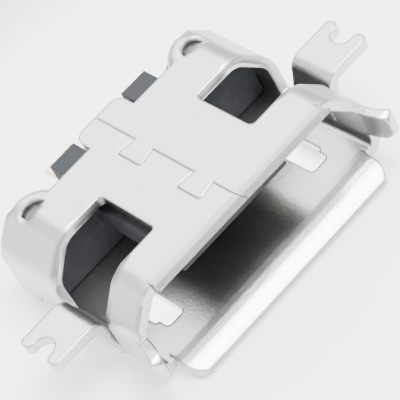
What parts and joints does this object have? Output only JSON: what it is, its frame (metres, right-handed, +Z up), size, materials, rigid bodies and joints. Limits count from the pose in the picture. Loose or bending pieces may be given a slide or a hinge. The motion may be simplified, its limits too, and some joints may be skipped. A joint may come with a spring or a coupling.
{
  "type": "micro usb socket",
  "caption": "Board-edge micro data socket: folded metal shell with a flared mouth, dovetailed seam, windows and forked side tabs around a dark tongue with gilded contacts.",
  "frame": {"origin": "on the board's upper face, which is the plane of the tabs' undersides, midway between the two tabs", "axes": "+Z up out of the board, -Y out of the mouth, +X to the right for someone who looks into the mouth"},
  "size_m": [0.0104, 0.0066, 0.0028],
  "materials": {
    "plated_sheet": "satin plated sheet",
    "dark_plastic": "dark moulded plastic",
    "gilded": "thin pale gilding"
  },
  "bodies": {
    "root": {"shell": "plated_sheet", "insulator": "dark_plastic", "contact_1": "gilded", "contact_2": "gilded", "contact_3": "gilded", "contact_4": "gilded", "contact_5": "gilded"}
  },
  "joints": []
}
